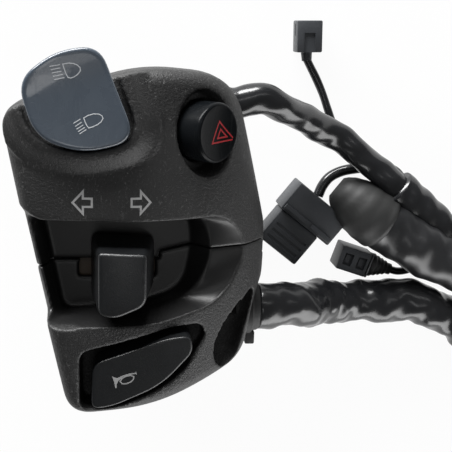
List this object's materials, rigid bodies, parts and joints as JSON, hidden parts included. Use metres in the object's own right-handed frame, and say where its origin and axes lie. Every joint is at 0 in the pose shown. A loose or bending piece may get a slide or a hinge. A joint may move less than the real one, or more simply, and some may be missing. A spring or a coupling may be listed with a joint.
{
  "type": "handlebar switch cluster",
  "caption": "Left-hand motorbike switch cluster that clamps on the bar, with beam rocker, hazard button, turn slider and horn button, and a sleeved wire loom with plugs.",
  "frame": {"origin": "on the axis of the handlebar bore, at the parting plane", "axes": "X right along the bar as the rider sees it, Y up the switch face, Z out of the face towards the rider"},
  "size_m": [0.2049, 0.1295, 0.0603],
  "materials": {
    "case": "moulded grain",
    "rocker": "gloss",
    "gloss_black": "gloss",
    "base": "matte",
    "shutter": "matte",
    "zinc_steel": "zinc plated",
    "steel": "bright",
    "brass": "bright",
    "wire": "satin",
    "rubber": "satin",
    "sleeve": "gloss vinyl",
    "cover": "satin vinyl",
    "plug": "satin"
  },
  "bodies": {
    "housing": {"upper_case": "case", "lower_case": "case", "case_screws": "zinc_steel", "rocker_pin": "steel", "beam_switch_base": "base", "beam_contacts": "brass", "hazard_spring": "steel", "hazard_switch_body": "base", "hazard_terminals": "brass", "turn_switch_base": "base", "turn_contacts": "brass", "horn_spring": "steel", "horn_switch_base": "base", "horn_fixed_contacts": "brass", "upper_wires": "wire", "lower_wires": "wire", "upper_grommet": "rubber", "lower_grommet": "rubber", "upper_branch_sleeve": "sleeve", "loom_sleeve": "sleeve", "loom_cover": "cover", "loom_wrap": "cover", "branch_cuff": "cover", "plug_lead": "sleeve", "multi_plug_housing": "plug", "multi_plug_skirt": "plug", "multi_plug_lock": "plug", "side_plug": "plug", "side_plug_boot": "sleeve", "side_lead": "sleeve", "brake_lead": "sleeve", "brake_plug": "plug"},
    "rocker": {"beam_rocker": "rocker", "rocker_plunger": "steel", "rocker_plunger_spring": "steel", "beam_bridge": "brass"},
    "hazard": {"hazard_button": "gloss_black", "hazard_plunger": "base"},
    "carriage": {"turn_carriage": "base", "turn_shutter": "shutter", "turn_wiper": "brass", "turn_detent_ball": "steel", "turn_detent_spring": "steel", "turn_knob_spring": "steel"},
    "knob": {"turn_knob": "case"},
    "horn": {"horn_button": "case", "horn_contact_plate": "brass"}
  },
  "joints": [
    {"name": "beam_rock", "type": "hinge", "parent": "housing", "child": "rocker", "pos_m": [-0.00846, 0.03539, 0.02993], "axis": [-0.9511, -0.306, 0.043], "range_deg": [0, 14]},
    {"name": "hazard_push", "type": "slide", "parent": "housing", "child": "hazard", "axis": [-0.682, 0, -0.7314], "range_m": [0, 0.003], "stiffness_N_per_m": 600, "springref_m": -0.003, "deforming": ["hazard_spring"]},
    {"name": "turn_slide", "type": "slide", "parent": "housing", "child": "carriage", "axis": [1, 0, 0], "range_m": [-0.0045, 0.0045]},
    {"name": "turn_cancel_push", "type": "slide", "parent": "carriage", "child": "knob", "axis": [0, 0, -1], "range_m": [0, 0.002], "stiffness_N_per_m": 500, "springref_m": -0.002, "deforming": ["turn_knob_spring"]},
    {"name": "horn_push", "type": "slide", "parent": "housing", "child": "horn", "axis": [0, 0, -1], "range_m": [0, 0.0025], "stiffness_N_per_m": 600, "springref_m": -0.0025, "deforming": ["horn_spring"]}
  ]
}
